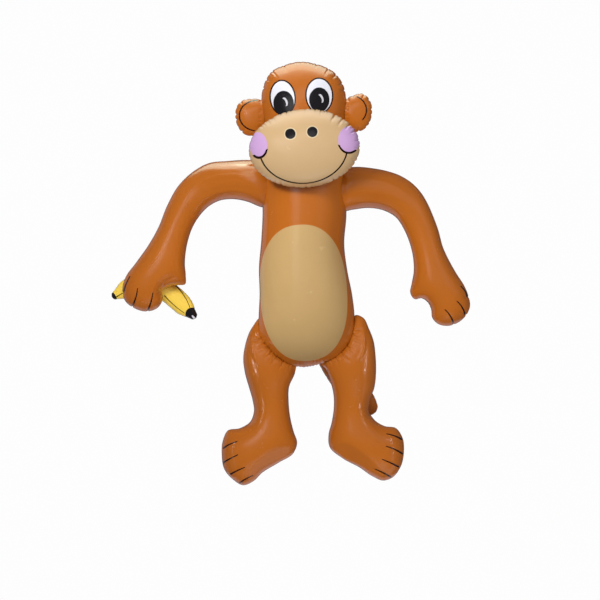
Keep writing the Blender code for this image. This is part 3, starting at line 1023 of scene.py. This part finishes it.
def make_oval_group():
    group, start, end = new_group("printed_oval", PLACE_INPUTS, [("Mask", FLOAT)])
    get = start.outputs
    x, y = local_place(group, get["Position"], get["Centre"], get["Tilt"])
    outside = oval_distance(group, x, y, get["Half X"], get["Half Y"], get["Power"])
    smaller = calc(group, "MINIMUM", get["Half X"], get["Half Y"])
    inward = calc(group, "MULTIPLY", calc(group, "MULTIPLY", outside, smaller), -1)
    group.links.new(edge_mask(group, inward, get["Softness"]), end.inputs["Mask"])
    return group


# %% Ring
def make_ring_group():
    """Line along an oval. Only the part past a limit counts, in the oval's own frame."""
    extra = [("Width", FLOAT, 0.002), ("Limit X", FLOAT, 0.0), ("Limit Y", FLOAT, -1.0),
             ("Limit", FLOAT, 0.0)]
    group, start, end = new_group("printed_ring", PLACE_INPUTS + extra, [("Mask", FLOAT)])
    get = start.outputs
    x, y = local_place(group, get["Position"], get["Centre"], get["Tilt"])
    outside = oval_distance(group, x, y, get["Half X"], get["Half Y"], get["Power"])
    smaller = calc(group, "MINIMUM", get["Half X"], get["Half Y"])
    off_line = calc(group, "ABSOLUTE", calc(group, "MULTIPLY", outside, smaller))
    inside_line = calc(group, "SUBTRACT", calc(group, "MULTIPLY", get["Width"], 0.5), off_line)
    past = calc(group, "ADD", calc(group, "MULTIPLY", x, get["Limit X"]),
                calc(group, "MULTIPLY", y, get["Limit Y"]))
    past = calc(group, "SUBTRACT", past, get["Limit"])
    line = edge_mask(group, inside_line, get["Softness"])
    kept = edge_mask(group, past, get["Softness"])
    group.links.new(calc(group, "MULTIPLY", line, kept), end.inputs["Mask"])
    return group


# %% Stroke
def make_stroke_group():
    """Pen stroke from the centre along X, bowed sideways, that thins towards its far end."""
    inputs = [("Position", VECTOR, None), ("Centre", VECTOR, (0, 0, 0)), ("Tilt", FLOAT, 0.0),
              ("Half Length", FLOAT, 0.01), ("Bow", FLOAT, 0.0), ("Width", FLOAT, 0.002),
              ("Taper", FLOAT, 0.4), ("Softness", FLOAT, 0.0004)]
    group, start, end = new_group("printed_stroke", inputs, [("Mask", FLOAT)])
    get = start.outputs
    x, y = local_place(group, get["Position"], get["Centre"], get["Tilt"])
    t = calc(group, "DIVIDE", x, get["Half Length"])
    hump = calc(group, "SUBTRACT", 1, calc(group, "MULTIPLY", t, t))
    off_line = calc(group, "SUBTRACT", y, calc(group, "MULTIPLY", hump, get["Bow"]))
    twice = calc(group, "MULTIPLY", t, 2)
    lean = calc(group, "DIVIDE", calc(group, "MULTIPLY", get["Bow"], twice), get["Half Length"])
    steepness = calc(group, "SQRT", calc(group, "ADD", 1, calc(group, "MULTIPLY", lean, lean)))
    off_line = calc(group, "DIVIDE", calc(group, "ABSOLUTE", off_line), steepness)
    thinning = calc(group, "MULTIPLY", get["Taper"], calc(group, "ADD", t, 1))
    half_width = calc(group, "MULTIPLY", get["Width"],
                      calc(group, "SUBTRACT", 0.5, calc(group, "MULTIPLY", thinning, 0.25)))
    inside_line = calc(group, "SUBTRACT", half_width, off_line)
    from_end = calc(group, "SUBTRACT", get["Half Length"], calc(group, "ABSOLUTE", x))
    line = edge_mask(group, inside_line, get["Softness"])
    kept = edge_mask(group, from_end, get["Softness"])
    group.links.new(calc(group, "MULTIPLY", line, kept), end.inputs["Mask"])
    return group


OVAL = make_oval_group()
RING = make_ring_group()
STROKE = make_stroke_group()


# %% [markdown]
# ## Vinyl film
#
# Blown-up film is smooth and glossy, but never perfect. It is a little uneven in thickness,
# so its gloss ripples over a few centimetres, it has a fine rolled grain, and handling dulls
# it here and there. A plain glossy shader would do from afar, but close up it looks like
# moulded plastic. One group gives all three, and every material uses it.


# %% Film group
GRAIN_HEIGHT = 0.008


def make_film_group():
    inputs = [("Position", VECTOR, None), ("Ripple", FLOAT, 1.0), ("Grain", FLOAT, 1.0),
              ("Dullness", FLOAT, 1.0)]
    outputs = [("Height", FLOAT), ("Shade", FLOAT), ("Roughness", FLOAT)]
    group, start, end = new_group("vinyl_film", inputs, outputs)
    get = start.outputs

    def noise(scale, detail, roughness=0.5):
        return add_node(group, "ShaderNodeTexNoise",
                        {"Vector": get["Position"], "Scale": scale, "Detail": detail,
                         "Roughness": roughness}).outputs["Fac"]

    ripple = calc(group, "MULTIPLY", noise(24.0, 1.0), get["Ripple"])
    grain = calc(group, "MULTIPLY", noise(900.0, 2.0), get["Grain"])
    height = calc(group, "ADD", ripple, calc(group, "MULTIPLY", grain, GRAIN_HEIGHT))
    group.links.new(height, end.inputs["Height"])
    cloud = noise(9.0, 3.0, 0.6)
    shade = calc(group, "ADD", 0.94, calc(group, "MULTIPLY", cloud, 0.12))
    group.links.new(shade, end.inputs["Shade"])
    smudge = add_node(group, "ShaderNodeMapRange",
                      {0: noise(38.0, 4.0, 0.65), 1: 0.45, 2: 0.75, 3: 0.0, 4: 0.07})
    dull = calc(group, "MULTIPLY", smudge.outputs[0], get["Dullness"])
    group.links.new(dull, end.inputs["Roughness"])
    return group


FILM = make_film_group()

# %% [markdown]
# The printed film has a clear top layer, so its gloss comes from a rougher body below a thin
# smooth coat. The colours are read off the photograph and set as linear values.

# %% Colours and gloss
BROWN = (0.475, 0.128, 0.0105)
TAN = (0.615, 0.41, 0.21)
BELLY_TAN = (0.55, 0.355, 0.145)
INK = (0.012, 0.002, 0.001)
BLACK = (0.008, 0.007, 0.009)
WHITE = (0.79, 0.79, 0.86)
LILAC = (0.62, 0.38, 0.68)
YELLOW = (0.95, 0.66, 0.09)
PUPIL_GLINT = (0.62, 0.62, 0.66)
NOSTRIL_EDGE = (0.72, 0.58, 0.36)
FILM_ROUGHNESS = 0.22
FILM_IOR = 1.53
COAT_WEIGHT = 0.35
COAT_ROUGHNESS = 0.07
BUMP_STRENGTH = 0.25
BUMP_DISTANCE = 3 * MM


# %% Material of a piece
def vinyl(name, base, front_of, prints):
    """Vinyl with print on its front. prints is a list of (group, values, colour), in order."""
    material = bpy.data.materials.new(name)
    material.use_nodes = True
    tree = material.node_tree
    shader = tree.nodes["Principled BSDF"]
    position = add_node(tree, "ShaderNodeTexCoord").outputs["Object"]
    film = add_node(tree, "ShaderNodeGroup", {}, node_tree=FILM)
    tree.links.new(position, film.inputs["Position"])
    height = add_node(tree, "ShaderNodeSeparateXYZ", {0: position}).outputs[2]
    front = calc(tree, "GREATER_THAN", height, front_of)
    colour = add_node(tree, "ShaderNodeRGB").outputs[0]
    colour.default_value = (*base, 1)
    for group, values, paint in prints:
        mark = add_node(tree, "ShaderNodeGroup", {}, node_tree=group)
        tree.links.new(position, mark.inputs["Position"])
        for key, value in values.items():
            mark.inputs[key].default_value = value
        mask = calc(tree, "MULTIPLY", mark.outputs["Mask"], front)
        mix = add_node(tree, "ShaderNodeMix", {0: mask, 6: colour, 7: (*paint, 1)},
                       data_type="RGBA")
        colour = mix.outputs[2]
    shaded = add_node(tree, "ShaderNodeVectorMath", {0: colour}, operation="SCALE")
    tree.links.new(film.outputs["Shade"], shaded.inputs["Scale"])
    tree.links.new(shaded.outputs[0], shader.inputs["Base Color"])
    roughness = calc(tree, "ADD", FILM_ROUGHNESS, film.outputs["Roughness"])
    tree.links.new(roughness, shader.inputs["Roughness"])
    shader.inputs["IOR"].default_value = FILM_IOR
    shader.inputs["Coat Weight"].default_value = COAT_WEIGHT
    shader.inputs["Coat Roughness"].default_value = COAT_ROUGHNESS
    bump = add_node(tree, "ShaderNodeBump", {"Height": film.outputs["Height"],
                                             "Strength": BUMP_STRENGTH,
                                             "Distance": BUMP_DISTANCE})
    tree.links.new(bump.outputs[0], shader.inputs["Normal"])
    return material


# %% [markdown]
# ## Print on each piece
#
# Places are in the same shares as the patterns, and each mark says only what it is: an oval
# with its half axes, a ring with its limit, or a stroke from one end to the other. Marks are
# printed in the order they are listed, so an eye is a dark oval, then its white, then its
# pupil. Drawing them as raised shapes would be wrong, since ink has no thickness to see.

# %% Marks
LINE_WIDTH = 4.0 * MM
FACE_LINE_WIDTH = 2.7 * MM


def spot(x, y):
    return (x * UNIT, y * UNIT, 0)


def oval(x, y, half_x, half_y, colour, tilt=0.0, power=2.0):
    values = {"Centre": spot(x, y), "Half X": half_x * UNIT, "Half Y": half_y * UNIT,
              "Tilt": math.radians(tilt), "Power": power}
    return OVAL, values, colour


def ring(x, y, half_x, half_y, limit, toward, tilt=0.0, width=LINE_WIDTH, colour=INK):
    values = {"Centre": spot(x, y), "Half X": half_x * UNIT, "Half Y": half_y * UNIT,
              "Tilt": math.radians(tilt), "Width": width, "Limit X": float(toward[0]),
              "Limit Y": float(toward[1]), "Limit": limit * UNIT}
    return RING, values, colour


def stroke(start, end, bow=0.0, width=LINE_WIDTH, taper=0.5, colour=INK):
    run = np.array(end) - np.array(start)
    middle = (np.array(end) + np.array(start)) / 2
    values = {"Centre": spot(*middle), "Tilt": math.atan2(run[1], run[0]),
              "Half Length": float(np.linalg.norm(run)) / 2 * UNIT, "Bow": bow * UNIT,
              "Width": width, "Taper": taper}
    return STROKE, values, colour


# %% Eyes, on the head
EYE_OUTLINE = 3.4
head_marks = []
for x, y, half_x, half_y, tilt in ((-49, 404.5, 31.0, 42.5, 6), (37, 409.5, 33.0, 42.5, 2)):
    head_marks.append(oval(x, y, half_x, half_y, INK, tilt))
    head_marks.append(oval(x, y, half_x - EYE_OUTLINE, half_y - EYE_OUTLINE, WHITE, tilt))
for x, y in ((-47, 391.5), (37, 399.5)):
    head_marks.append(oval(x, y, 24, 29, BLACK))
    head_marks.append(oval(x + 3.5, y + 3, 6, 10.5, PUPIL_GLINT, 20))
    head_marks.append(oval(x - 1, y + 0.5, 6.5, 11, BLACK, 20))
print(len(head_marks), "marks on the head")

# %% Nostrils, cheeks and smile, on the muzzle
CHEEK_LINE = 3.8 * MM
RIGHT_CHEEK = dict(x=-106, y=292.4, half_x=21, half_y=30, tilt=6)
LEFT_CHEEK = dict(x=107, y=305, half_x=26, half_y=31.5, tilt=-6)
muzzle_marks = [ring(-0.5, 285, 103, 82.6, 16.5, (0.024, -1), tilt=3, width=FACE_LINE_WIDTH)]
for x, y in ((-31, 318), (20.5, 322.5)):
    muzzle_marks.append(oval(x, y, 14.6, 14.6, NOSTRIL_EDGE))
    muzzle_marks.append(oval(x, y, 12.3, 12.3, BLACK))
muzzle_marks += [
    oval(colour=LILAC, **RIGHT_CHEEK),
    oval(colour=LILAC, **LEFT_CHEEK),
    ring(limit=17.2, toward=(0.30, -0.95), width=CHEEK_LINE, **RIGHT_CHEEK),
    ring(limit=18.9, toward=(-0.17, -0.985), width=CHEEK_LINE, **LEFT_CHEEK),
]
print(len(muzzle_marks), "marks on the muzzle")

# %% Belly patch, finger lines and toe lines
torso_marks = [oval(0, -54, 102.5, 160, BELLY_TAN, 3.5, power=2.35)]
arm_right_marks = [
    stroke((-425, -54), (-409, -15), bow=2),
    stroke((-403, -84), (-391, -43), bow=-2),
    stroke((-368, -96), (-355, -53), bow=-2),
]
arm_left_marks = [
    stroke((386, -63), (370, -38), bow=-3),
    stroke((381, -105), (361, -73), bow=-3),
    stroke((354, -127), (333, -93), bow=-3),
]
leg_right_marks = [
    stroke((-190, -421), (-156, -404), bow=2),
    stroke((-190, -455), (-154, -435), bow=1),
    stroke((-173, -482), (-138, -465), bow=1),
    stroke((-152, -503), (-119, -484), bow=1),
]
leg_left_marks = [
    stroke((233, -400), (195, -386), bow=-2),
    stroke((234, -434), (194, -415), bow=-2),
    stroke((225, -465), (185, -446), bow=-1),
    stroke((207, -489), (168, -469), bow=-1),
]
ear_right_marks = [ring(-109, 363, 42, 36, 2, (-0.995, 0.1), width=FACE_LINE_WIDTH)]
ear_left_marks = [ring(112, 376, 36, 34, 20, (0.97, 0.24), width=FACE_LINE_WIDTH)]

# %% Lines and tips, on the banana, and a painted highlight on its tip
BANANA_LINE_WIDTH = 2.4 * MM
banana_print_and_painted_highlight = [
    stroke((-302, -37), (-268, -90), bow=4, width=BANANA_LINE_WIDTH),
    stroke((-329, -60), (-281, -102), bow=-2, width=BANANA_LINE_WIDTH),
    stroke((-443, -64), (-426, -54), bow=0, width=BANANA_LINE_WIDTH),
    oval(-257, -111, 25, 19, BLACK, -46),
    oval(-456, -66, 13, 20, BLACK, 35),
    # Painted highlight: this small white oval on the black tip stands in for the gloss that the
    # tip mirrors.
    oval(-259.5, -112, 2.2, 6, WHITE, 40),
]

# %% [markdown]
# ## Dressing the pieces
#
# Each piece rides on the frame's one body, replaces its plain solid and takes a vinyl of its own.
# The print covers only what is higher than the piece's weld, because the back panel is plain.
# The tail, which shows least, has no print at all.

# %% Materials, bodies and slots
ALWAYS_FRONT = -1.0
PIECES = [
    (torso, "torso", "brown_vinyl", BROWN, 60 * MM, torso_marks),
    (head, "head", "brown_vinyl", BROWN, head_height, head_marks),
    (muzzle, "muzzle", "tan_vinyl", TAN, muzzle_height, muzzle_marks),
    (ears["right"], "ear_right", "brown_vinyl", BROWN, head_height, ear_right_marks),
    (ears["left"], "ear_left", "brown_vinyl", BROWN, head_height, ear_left_marks),
    (arm_right, "arm_right", "brown_vinyl", BROWN, 30 * MM, arm_right_marks),
    (arm_left, "arm_left", "brown_vinyl", BROWN, 30 * MM, arm_left_marks),
    (leg_right, "leg_right", "brown_vinyl", BROWN, 40 * MM, leg_right_marks),
    (leg_left, "leg_left", "brown_vinyl", BROWN, 40 * MM, leg_left_marks),
    (tail, "tail", "brown_vinyl", BROWN, ALWAYS_FRONT, []),
    (banana, "banana", "yellow_vinyl", YELLOW, ALWAYS_FRONT, banana_print_and_painted_highlight),
]
for piece, node, slot, base, front_of, marks in PIECES:
    piece.data.materials.clear()
    piece.data.materials.append(vinyl(node + "_print", base, front_of, marks))
    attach(piece, "root")
    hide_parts(node)
print(len(PIECES), "pieces dressed")

# %% [markdown]
# ## Studio
#
# The photograph is a cut-out product shot: the ground is pure white, yet the edges of the
# film are dark, so what they mirrored was a dim room. The paper floor here is therefore lit
# for the camera alone. Plain light gets a little of it back, and mirrored rays pass through
# it to the lamps and the dark below. A white floor under bright lamps would be truer, but it
# would draw a pale rim round every tube.

# %% Floor
STUDIO_SPAN = 30
FLOOR_SEEN = 0.985
FLOOR_BOUNCE = (0.30, 0.28, 0.28)


def build_floor():
    half = STUDIO_SPAN / 2
    mesh = bpy.data.meshes.new("studio_floor")
    corners = [(-half, -half, 0), (half, -half, 0), (half, half, 0), (-half, half, 0)]
    mesh.from_pydata(corners, [], [(0, 1, 2, 3)])
    paper = bpy.data.materials.new("lit_paper")
    paper.use_nodes = True
    tree = paper.node_tree
    tree.nodes.clear()
    seen = add_node(tree, "ShaderNodeEmission", {"Color": (1, 1, 1, 1), "Strength": FLOOR_SEEN})
    dim = add_node(tree, "ShaderNodeEmission", {"Color": (*FLOOR_BOUNCE, 1), "Strength": 1})
    clear = add_node(tree, "ShaderNodeBsdfTransparent")
    path = add_node(tree, "ShaderNodeLightPath")
    unseen = add_node(tree, "ShaderNodeMixShader",
                      {0: path.outputs["Is Glossy Ray"], 1: dim.outputs[0], 2: clear.outputs[0]})
    mix = add_node(tree, "ShaderNodeMixShader",
                   {0: path.outputs["Is Camera Ray"], 1: unseen.outputs[0], 2: seen.outputs[0]})
    add_node(tree, "ShaderNodeOutputMaterial", {"Surface": mix.outputs[0]})
    mesh.materials.append(paper)
    floor = bpy.data.objects.new("studio_floor", mesh)
    bpy.context.scene.collection.objects.link(floor)
    return floor


build_floor()

# %% [markdown]
# ## Lamps
#
# Two kinds of lamp share the work, as in a real product studio. Plain lamps give the light
# and are flagged off from the gloss. Gloss lamps are only there to be mirrored, and they draw
# the veils and bright lines that run along a blown-up tube. Some of either kind fall on
# chosen pieces only, as a flag or a retoucher would arrange it, because one lamp's mirror
# image can't lie in the right place on every tube. A spotlight goes further: its beam is so
# narrow that it lights one place of one piece. Directions are given as a compass bearing in
# the picture, with nought at its top and a quarter turn to its right.

# %% Lamps
SUBJECT_HEIGHT = 90 * MM
PINK = (1.0, 0.86, 0.93)
CREAM = (0.80, 1.0, 0.80)
PLAIN, GLOSS = "plain", "gloss"


def lamp(name, bearing, elevation, distance, size, radiance, kind, colour=(1, 1, 1),
         only=None):
    """Area lamp aimed at the figure. kind says if it gives plain light or is mirrored, and
    only lists the pieces that it falls on."""
    turn, rise = math.radians(bearing), math.radians(elevation)
    away = Vector((math.sin(turn) * math.cos(rise), math.cos(turn) * math.cos(rise),
                   math.sin(rise)))
    data = bpy.data.lights.new(name, "AREA")
    data.shape = "RECTANGLE"
    data.size, data.size_y = size
    data.energy = radiance * math.pi * size[0] * size[1]
    data.color = colour
    light = bpy.data.objects.new(name, data)
    light.location = Vector((0, 0, SUBJECT_HEIGHT)) + away * distance
    light.rotation_euler = away.to_track_quat("Z", "Y").to_euler()
    light.visible_camera = False
    light.visible_glossy = kind != PLAIN
    light.visible_diffuse = kind != GLOSS
    bpy.context.scene.collection.objects.link(light)
    if only is not None:
        lit = bpy.data.collections.new(name + "_falls_on")
        for piece in only:
            lit.objects.link(piece)
        light.light_linking.receiver_collection = lit
    return light


# %% Narrow spotlights
SPOT_DISTANCE = 3.0
SPREAD = math.radians(7)
SPREAD_GAIN = 3 * math.tan(SPREAD / 2) / (SPREAD / 2) ** 3


def spotlight(name, bearing, elevation, place, side, radiance, kind, only):
    """Lamp whose beam is so narrow that it lights one place of a piece and not the rest.
    A narrow beam is brighter, so its power is divided by how much it gains."""
    light = lamp(name, bearing, elevation, SPOT_DISTANCE, (side, side),
                 radiance / SPREAD_GAIN, kind, only=only)
    light.data.spread = SPREAD
    light.location += Vector(spot(*place))
    return light


# %% Plain light
ALL_BUT_TORSO = tuple(entry[0] for entry in PIECES if entry[0] is not torso)
lamp("key", -46, 54, 3.0, (0.8, 0.8), 25, PLAIN, only=ALL_BUT_TORSO)
lamp("torso_key", -46, 40, 3.0, (0.6, 0.6), 54, PLAIN, only=(torso,))
lamp("overhead", -20, 72, 3.2, (3.2, 3.2), 0.98, PLAIN)
lamp("from_feet", 168, 28, 2.4, (1.6, 0.9), 5.6, PLAIN, only=ALL_BUT_TORSO)
lamp("from_head", -10, 50, 2.6, (1.4, 0.9), 2.4, PLAIN, only=(torso,))
spotlight("past_feet", 180, 20, (0, -215), 0.4, 220, PLAIN, (torso,))
lamp("torso_right", 50, 42, 2.4, (1.2, 1.2), 2.0, PLAIN, only=(torso,))
lamp("from_right", 62, 35, 2.4, (1.2, 1.2), 2.7, PLAIN)
lamp("arm_fill", 20, 50, 2.4, (1.2, 1.2), 0.6, PLAIN, only=(arm_left,))
lamp("crown", -13, 20, 1.2, (0.8, 0.5), 2.2, PLAIN)

# %% Gloss
TOP_FACING = (head, ears["right"], ears["left"], arm_right)
lamp("glare_1", -2, -16, 3.0, (4.2, 3.2), 2.6, GLOSS, CREAM, TOP_FACING)
lamp("glare_2", -2, -6, 3.0, (4.0, 3.0), 1.2, GLOSS, CREAM, TOP_FACING)
lamp("glare_3", -2, 4, 3.0, (3.8, 2.8), 0.6, GLOSS, CREAM, TOP_FACING)
lamp("glare_4", -2, 14, 3.0, (3.6, 2.8), 0.3, GLOSS, CREAM, TOP_FACING)
lamp("muzzle_glare_1", -2, -16, 3.0, (4.2, 3.2), 1.2, GLOSS, only=(muzzle,))
lamp("muzzle_glare_2", -2, 4, 3.0, (3.8, 2.8), 0.5, GLOSS, only=(muzzle,))
lamp("arm_streak", -9, -8, 3.0, (1.5, 0.9), 6.5, GLOSS, CREAM, (arm_right,))
lamp("arm_band", -12, 42, 3.0, (2.6, 1.4), 1.8, GLOSS, CREAM, (arm_right,))
lamp("strip_high", -28, 64, 3.0, (2.6, 0.7), 0.7, GLOSS)
lamp("strip_side", -66, 70, 3.0, (0.9, 0.7), 0.6, GLOSS)
lamp("glare_left", -95, -38, 3.0, (4.0, 2.6), 0.3, GLOSS, PINK)
lamp("glare_feet", 180, -38, 3.0, (4.0, 2.6), 0.65, GLOSS, PINK)
lamp("sole_glare", 145, 4, 3.0, (2.0, 1.2), 0.5, GLOSS, only=(leg_right, leg_left))
THIGH_SPOTS = [(leg_right, (-118, -165), (-64, -78, -92, -106, -120)),
               (leg_left, (138, -155), (58, 72, 86, 100, 114))]
for leg, thigh, bearings in THIGH_SPOTS:
    for bearing in bearings:
        spotlight("thigh_spot", bearing, 28, thigh, 0.34, 30, GLOSS, (leg,))
print(len(bpy.data.lights), "lamps")

# %% [markdown]
# ## Room
#
# The room is nearly dark, so the sides of a tube that turn away from the lamps stay deep in
# colour. A bright sky would be easier to light with, but it would wash the sides out.

# %% Room
ROOM = (0.09, 0.09, 0.095)
world = bpy.data.worlds.new("studio")
world.use_nodes = True
world.node_tree.nodes["Background"].inputs["Color"].default_value = (*ROOM, 1)
world.node_tree.nodes["Background"].inputs["Strength"].default_value = 1.0
bpy.context.scene.world = world

# %% [markdown]
# ## Camera
#
# It looks straight down with the head at the top of the picture, from far off through a long
# lens, so that the swell of the face hardly changes its outline. A camera without perspective
# would come near too, but a real one always has a little. The lens is worked out from how many
# shares of the figure's height the picture is wide.

# %% Camera
PICTURE_PIXELS = 600
PIXELS_PER_SHARE = 0.424
PICTURE_CENTRE = (-8.3, -70.8)
CAMERA_HEIGHT = 20.0
RIM_HEIGHT = 60 * MM
SENSOR_WIDTH = 36
frame_width = PICTURE_PIXELS / PIXELS_PER_SHARE * UNIT
camera_data = bpy.data.cameras.new("camera")
camera_data.sensor_width = SENSOR_WIDTH
camera_data.lens = SENSOR_WIDTH * (CAMERA_HEIGHT - RIM_HEIGHT) / frame_width
camera = bpy.data.objects.new("camera", camera_data)
camera.location = (PICTURE_CENTRE[0] * UNIT, PICTURE_CENTRE[1] * UNIT, CAMERA_HEIGHT)
bpy.context.scene.collection.objects.link(camera)
bpy.context.scene.camera = camera
bpy.context.scene.view_settings.view_transform = "Standard"
print(f"lens {camera_data.lens:.0f} mm, picture {frame_width:.3f} m wide")
